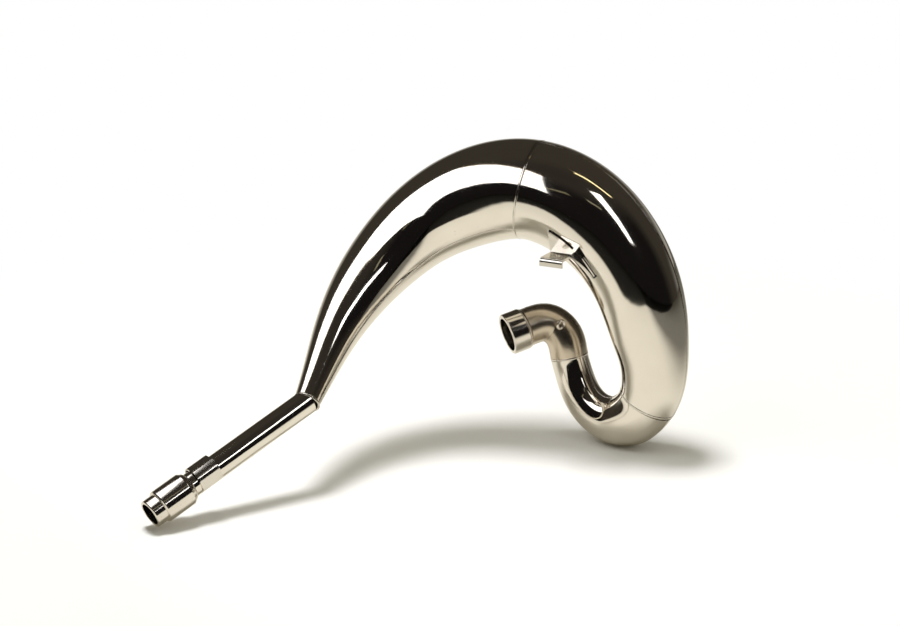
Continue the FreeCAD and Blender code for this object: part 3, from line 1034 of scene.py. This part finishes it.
@dataclass
class Studio:
    """The floor, the light and the camera.

    Places are in metres, to the photographer's right and front, and a span is where a fade starts
    and ends. The metal mirrors the floor up to a table's edges, and past them only a small share of
    it. The front edge stands further out to the left of a corner, by a slant, and to the right
    along a bay, which has a start, a slope and a width.
    """

    middle: tuple[float, float] = (-0.13, -0.03)
    floor_size: float = 24.0
    floor_fade: Span = (0.45, 1.0)
    floor_colour: Colour = (0.94, 0.94, 0.935)
    floor_mirrored: Colour = (0.75, 0.722, 0.65)
    table_front: Span = (0.43, 0.55)
    past_front: float = 0.02
    table_corner: float = -0.21
    table_slant: float = 0.84
    table_bay: tuple[float, float, float] = (-0.2, 1.6, 0.5)
    table_right: Span = (0.25, 0.62)
    past_right: float = 0.25
    fill: Colour = (0.29, 0.277, 0.22)
    dark_front: Colour = (0.007, 0.006, 0.006)
    dark_back: Colour = (0.040, 0.034, 0.026)
    horizon: Colour = (0.40, 0.38, 0.34)
    horizon_lift: Span = (0.0, 0.25)
    horizon_back: Span = (-0.8, -0.25)
    front_from: Span = (-0.15, 0.35)
    overhead: Span = (0.6, 0.85)
    overhead_front: float = 0.35
    lamps: tuple[Softbox, ...] = (
        Softbox("top", right=-0.8, front=-0.4, size=(1.1, 1.1), power=145.0, height=4.0,
                mirrored=False),
        Softbox("key", right=-0.494, front=0.253, size=(0.879, 0.639), power=3.55, turn=-60.4,
                height=0.76, upright=True),
        Softbox("rim", right=-0.494, front=0.253, size=(0.879, 0.025), power=0.03, turn=-60.4,
                colour=(1.0, 0.80, 0.50), height=1.115, upright=True),
        Softbox("streak", right=0.93, front=1.30, size=(0.24, 1.65), power=3.6, turn=31.0),
        Softbox("warm", right=0.60, front=0.19, size=(0.60, 0.035), power=0.2, turn=-11.5,
                colour=(1.0, 0.86, 0.45)),
        Softbox("gold", right=-0.567, front=1.572, size=(0.605, 0.06), power=0.034, turn=23.1,
                colour=(1.0, 0.90, 0.55)),
        Softbox("glint", right=0.34, front=1.26, size=(0.305, 0.08), power=0.023, turn=-6.6,
                colour=(1.0, 0.92, 0.62)),
    )
    camera_place: tuple[float, float, float] = (-0.8477, -2.1365, 0.7285)
    camera_azimuth: float = -20.0
    camera_elevation: float = 17.0
    lens: float = 84.0
    sensor: float = 36.0

    def __post_init__(self) -> None:
        """Work out the photographer's directions."""
        heading = math.radians(self.camera_azimuth)
        self.right = Vector((math.cos(heading), math.sin(heading), 0.0))
        self.front = Vector((math.sin(heading), -math.cos(heading), 0.0))

    @staticmethod
    def along(nodes: Nodes, place: bpy.types.NodeSocket, direction: Vector) -> bpy.types.NodeSocket:
        """Distance of a place in a direction.

        Args:
            nodes: The node tree.
            place: The place's socket.
            direction: The direction.

        Returns:
            The distance's socket.
        """
        dot = nodes.add("ShaderNodeVectorMath", operation="DOT_PRODUCT")
        dot.inputs[1].default_value = direction
        nodes.link(place, dot.inputs[0])
        return dot.outputs["Value"]

    @staticmethod
    def fade(nodes: Nodes, value: bpy.types.NodeSocket, ends: Span,
             levels: Span) -> bpy.types.NodeSocket:
        """A soft step of a value from one level to another."""
        return nodes.span(value, ends, levels, "SMOOTHSTEP")

    def floor(self, height: float) -> bpy.types.Object:
        """Lay the floor.

        Args:
            height: Its height in metres.

        Returns:
            The floor.
        """
        half = self.floor_size / 2
        mesh = bpy.data.meshes.new("floor")
        mesh.from_pydata([(-half, -half, height), (half, -half, height), (half, half, height),
                          (-half, half, height)], [], [(0, 1, 2, 3)])
        made = bpy.data.objects.new("floor", mesh)
        bpy.context.scene.collection.objects.link(made)
        mesh.materials.append(self.floor_material())
        return made

    def floor_material(self) -> bpy.types.Material:
        """A white floor, whose mirror image ends at the table's edge.

        Returns:
            The material.
        """
        made = bpy.data.materials.new("floor")
        made.use_nodes = True
        nodes = Nodes(made.node_tree)
        out = nodes.add("ShaderNodeOutputMaterial")
        place = nodes.add("ShaderNodeNewGeometry").outputs["Position"]
        ray = nodes.add("ShaderNodeLightPath")
        right = self.along(nodes, place, self.right)
        beyond = nodes.math("MINIMUM", nodes.math("SUBTRACT", right, self.table_corner), 0.0)
        slant = nodes.math("MULTIPLY", beyond, self.table_slant)
        start, slope, reach = self.table_bay
        past = nodes.math("MAXIMUM", nodes.math("SUBTRACT", right, start), 0.0)
        bay = nodes.math("MINIMUM", past, reach)
        wide = nodes.math("SUBTRACT", slant, nodes.math("MULTIPLY", bay, slope))
        edge = nodes.math("ADD", self.along(nodes, place, self.front), wide)
        near = self.fade(nodes, edge, self.table_front, (1.0, self.past_front))
        side = self.fade(nodes, right, self.table_right, (1.0, self.past_right))
        image = nodes.add("ShaderNodeMix", data_type="RGBA")
        image.inputs["A"].default_value = (0.0, 0.0, 0.0, 1.0)
        image.inputs["B"].default_value = (*self.floor_mirrored, 1.0)
        nodes.link(nodes.math("MULTIPLY", near, side), image.inputs["Factor"])
        seen = nodes.add("ShaderNodeMix", data_type="RGBA")
        seen.inputs["A"].default_value = (*self.floor_colour, 1.0)
        nodes.link(ray.outputs["Is Glossy Ray"], seen.inputs["Factor"])
        nodes.link(image.outputs["Result"], seen.inputs["B"])
        paint = nodes.add("ShaderNodeBsdfDiffuse")
        nodes.link(seen.outputs["Result"], paint.inputs["Color"])
        offset = nodes.add("ShaderNodeVectorMath", operation="DISTANCE")
        offset.inputs[1].default_value = (*self.middle, 0.0)
        nodes.link(place, offset.inputs[0])
        far = self.fade(nodes, offset.outputs["Value"], self.floor_fade, (0.0, 1.0))
        white = nodes.add("ShaderNodeEmission", Strength=1.0)
        blend = nodes.add("ShaderNodeMixShader")
        nodes.link(nodes.math("MULTIPLY", far, ray.outputs["Is Camera Ray"]), blend.inputs[0])
        nodes.link(paint.outputs["BSDF"], blend.inputs[1])
        nodes.link(white.outputs["Emission"], blend.inputs[2])
        nodes.link(blend.outputs["Shader"], out.inputs["Surface"])
        return made

    def world(self) -> None:
        """Set a white background over a dark studio, which the metal mirrors."""
        made = bpy.data.worlds.new("studio")
        made.use_nodes = True
        bpy.context.scene.world = made
        nodes = Nodes(made.node_tree)
        out = nodes.add("ShaderNodeOutputWorld")
        ray = nodes.add("ShaderNodeLightPath")
        way = nodes.add("ShaderNodeTexCoord").outputs["Generated"]
        ahead = self.along(nodes, way, self.front)
        lift = self.along(nodes, way, Vector((0.0, 0.0, 1.0)))
        sky = nodes.add("ShaderNodeMix", data_type="RGBA")
        sky.inputs["A"].default_value = (*self.horizon, 1.0)
        sky.inputs["B"].default_value = (*self.dark_back, 1.0)
        glow = nodes.math("MULTIPLY", self.fade(nodes, lift, self.horizon_lift, (1.0, 0.0)),
                          self.fade(nodes, ahead, self.horizon_back, (1.0, 0.0)))
        nodes.link(nodes.math("SUBTRACT", 1.0, glow), sky.inputs["Factor"])
        room = nodes.add("ShaderNodeMix", data_type="RGBA")
        room.inputs["B"].default_value = (*self.dark_front, 1.0)
        facing = self.fade(nodes, ahead, self.front_from, (0.0, 1.0))
        low = self.fade(nodes, lift, self.overhead, (1.0, self.overhead_front))
        nodes.link(nodes.math("MULTIPLY", facing, low), room.inputs["Factor"])
        nodes.link(sky.outputs["Result"], room.inputs["A"])
        white = nodes.add("ShaderNodeBackground", Color=(1.0, 1.0, 1.0, 1.0), Strength=1.0)
        dark = nodes.add("ShaderNodeBackground", Strength=1.0)
        nodes.link(room.outputs["Result"], dark.inputs["Color"])
        fill = nodes.add("ShaderNodeBackground", Color=(*self.fill, 1.0), Strength=1.0)
        mirrored = nodes.add("ShaderNodeMixShader")
        nodes.link(ray.outputs["Is Glossy Ray"], mirrored.inputs[0])
        nodes.link(fill.outputs[0], mirrored.inputs[1])
        nodes.link(dark.outputs[0], mirrored.inputs[2])
        seen = nodes.add("ShaderNodeMixShader")
        nodes.link(ray.outputs["Is Camera Ray"], seen.inputs[0])
        nodes.link(mirrored.outputs[0], seen.inputs[1])
        nodes.link(white.outputs[0], seen.inputs[2])
        nodes.link(seen.outputs[0], out.inputs[0])

    def camera(self) -> None:
        """Set the camera where the photographer stood."""
        data = bpy.data.cameras.new("camera")
        data.sensor_fit = "HORIZONTAL"
        data.sensor_width = self.sensor
        data.lens = self.lens
        made = bpy.data.objects.new("camera", data)
        made.location = self.camera_place
        made.rotation_euler = (math.radians(90.0 - self.camera_elevation), 0.0,
                               math.radians(self.camera_azimuth))
        bpy.context.scene.collection.objects.link(made)
        bpy.context.scene.camera = made

    def build(self, height: float) -> None:
        """Build the studio.

        Args:
            height: The floor's height.
        """
        bpy.context.scene.view_settings.view_transform = "Standard"
        self.floor(height)
        self.world()
        for lamp in self.lamps:
            lamp.hang(self.right, self.front)
        self.camera()


def main() -> None:
    """Build the pieces and the studio."""
    logging.basicConfig(level=logging.INFO, format="%(message)s")
    chamber = Chamber()
    end = chamber.path.section(float(chamber.path.knots[-1]), np.array(chamber.cone_draw))
    assemblies = (chamber, InletCollar(chamber), Stinger(end), KeptFittings())
    for assembly in assemblies:
        for piece in assembly.build():
            log.info("%s: %s, %d faces", type(assembly).__name__, piece.name,
                     len(piece.data.polygons))
    Studio().build(float(CAD_BOX[0][2]))


if __name__ == "__main__":
    main()
